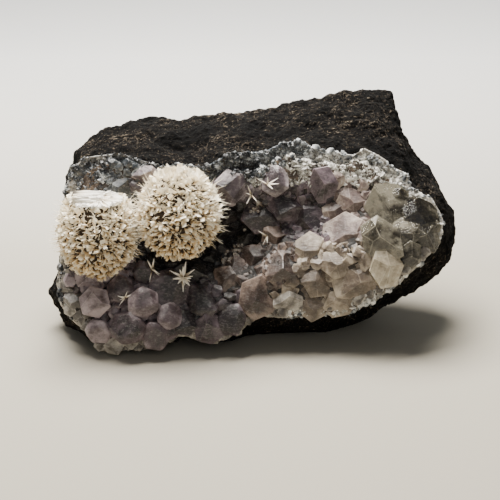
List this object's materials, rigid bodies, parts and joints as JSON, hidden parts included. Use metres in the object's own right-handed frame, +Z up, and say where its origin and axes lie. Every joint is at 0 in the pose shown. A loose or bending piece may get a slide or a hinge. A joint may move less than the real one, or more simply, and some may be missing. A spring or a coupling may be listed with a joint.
{
  "type": "amethyst on matrix",
  "caption": "Hand specimen of dark basalt with a crust of pale amethyst crystals and round balls of needle-like zeolite, resting on its flat base.",
  "frame": {"origin": "middle of the bounding box, on the level of the surface that the specimen rests on", "axes": "+Z up; +X along the specimen, to the right as seen from the crystal side; -Y out of the crystal side, towards the viewer"},
  "size_m": [0.1503, 0.0815, 0.0816],
  "materials": {
    "basalt": "broken, coarse and matte, nearly black brown",
    "chalcedony": "blue-grey to white, waxy, with sugary grains of quartz",
    "amethyst": "glassy crystal faces, pale lilac to smoky and clear",
    "zeolite": "silky needles, cream white with ochre between them"
  },
  "bodies": {
    "root": {"basalt_matrix": "basalt", "chalcedony_rind": "chalcedony", "amethyst_crust": "amethyst", "zeolite_ball_left": "zeolite", "zeolite_ball_right": "zeolite", "zeolite_spray_1": "zeolite", "zeolite_spray_2": "zeolite", "zeolite_spray_3": "zeolite", "zeolite_spray_4": "zeolite", "zeolite_spray_5": "zeolite", "zeolite_spray_6": "zeolite", "zeolite_spray_7": "zeolite"}
  },
  "joints": []
}
